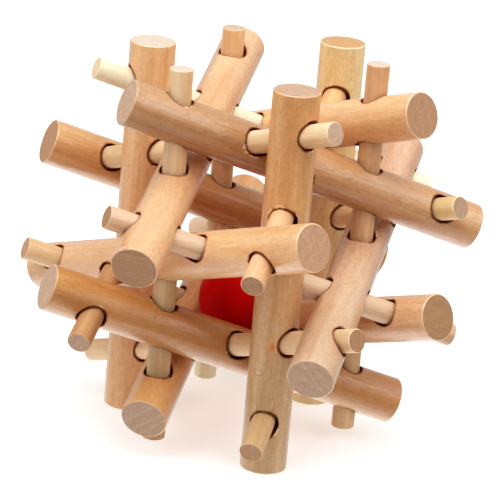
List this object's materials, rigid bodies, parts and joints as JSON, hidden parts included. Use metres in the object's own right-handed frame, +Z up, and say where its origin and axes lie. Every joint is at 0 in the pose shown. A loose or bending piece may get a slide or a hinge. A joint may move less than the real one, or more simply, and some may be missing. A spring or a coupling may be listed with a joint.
{
  "type": "wooden burr puzzle",
  "caption": "Wooden burr puzzle: thick drilled rods in slanting and upright bundles, pinned by thin sliding dowels, form an open cage round a loose red ball.",
  "frame": {"origin": "on the table, under the middle of the cage", "axes": "+Z up along the upright rods; -Y is the front, towards which the back bundle's lower ends point; +X is to the right"},
  "size_m": [0.157, 0.1574, 0.1365],
  "materials": {
    "rod_wood": "satin clear varnish over straight-grained tan wood, grey-brown end grain",
    "dowel_wood": "pale sanded wood with a thin satin varnish",
    "ball_lacquer": "gloss red lacquer over a turned wooden ball"
  },
  "bodies": {
    "cage": {"rod_upright_left": "rod_wood", "rod_upright_front": "rod_wood", "rod_upright_back": "rod_wood", "rod_left_lower": "rod_wood", "rod_left_middle": "rod_wood", "rod_left_upper": "rod_wood", "rod_right_upper": "rod_wood", "rod_right_lower": "rod_wood", "rod_right_middle": "rod_wood", "rod_back_middle": "rod_wood", "rod_back_upper": "rod_wood", "rod_back_lower": "rod_wood"},
    "dowel_upright_right": {"dowel_upright_right": "dowel_wood"},
    "dowel_upright_back": {"dowel_upright_back": "dowel_wood"},
    "dowel_upright_front": {"dowel_upright_front": "dowel_wood"},
    "dowel_left_upper": {"dowel_left_upper": "dowel_wood"},
    "dowel_left_middle": {"dowel_left_middle": "dowel_wood"},
    "dowel_left_lower": {"dowel_left_lower": "dowel_wood"},
    "dowel_right_lower": {"dowel_right_lower": "dowel_wood"},
    "dowel_right_upper": {"dowel_right_upper": "dowel_wood"},
    "dowel_right_middle": {"dowel_right_middle": "dowel_wood"},
    "dowel_back_middle": {"dowel_back_middle": "dowel_wood"},
    "dowel_back_lower": {"dowel_back_lower": "dowel_wood"},
    "dowel_back_upper": {"dowel_back_upper": "dowel_wood"},
    "ball": {"ball": "ball_lacquer"}
  },
  "joints": [
    {"name": "dowel_upright_right_slide", "type": "slide", "parent": "cage", "child": "dowel_upright_right", "axis": [0, 0, 1], "range_m": [-0.0055, 0.14]},
    {"name": "dowel_upright_back_slide", "type": "slide", "parent": "cage", "child": "dowel_upright_back", "axis": [0, 0, 1], "range_m": [-0.0015, 0.14]},
    {"name": "dowel_upright_front_slide", "type": "slide", "parent": "cage", "child": "dowel_upright_front", "axis": [0, 0, 1], "range_m": [-0.0035, 0.14]},
    {"name": "dowel_left_upper_slide", "type": "slide", "parent": "cage", "child": "dowel_left_upper", "axis": [-0.8165, -0.4714, 0.3333], "range_m": [-0.14, 0.14]},
    {"name": "dowel_left_middle_slide", "type": "slide", "parent": "cage", "child": "dowel_left_middle", "axis": [-0.8165, -0.4714, 0.3333], "range_m": [-0.124, 0.14]},
    {"name": "dowel_left_lower_slide", "type": "slide", "parent": "cage", "child": "dowel_left_lower", "axis": [-0.8165, -0.4714, 0.3333], "range_m": [-0.0335, 0.14]},
    {"name": "dowel_right_lower_slide", "type": "slide", "parent": "cage", "child": "dowel_right_lower", "axis": [0.8165, -0.4714, 0.3333], "range_m": [-0.0295, 0.14]},
    {"name": "dowel_right_upper_slide", "type": "slide", "parent": "cage", "child": "dowel_right_upper", "axis": [0.8165, -0.4714, 0.3333], "range_m": [-0.14, 0.14]},
    {"name": "dowel_right_middle_slide", "type": "slide", "parent": "cage", "child": "dowel_right_middle", "axis": [0.8165, -0.4714, 0.3333], "range_m": [-0.124, 0.14]},
    {"name": "dowel_back_middle_slide", "type": "slide", "parent": "cage", "child": "dowel_back_middle", "axis": [0, 0.9428, 0.3333], "range_m": [-0.124, 0.14]},
    {"name": "dowel_back_lower_slide", "type": "slide", "parent": "cage", "child": "dowel_back_lower", "axis": [0, 0.9428, 0.3333], "range_m": [-0.0275, 0.14]},
    {"name": "dowel_back_upper_slide", "type": "slide", "parent": "cage", "child": "dowel_back_upper", "axis": [0, 0.9428, 0.3333], "range_m": [-0.14, 0.14]},
    {"name": "ball_lift", "type": "slide", "parent": "cage", "child": "ball", "axis": [0, 0, 1], "range_m": [0, 0.044]}
  ]
}
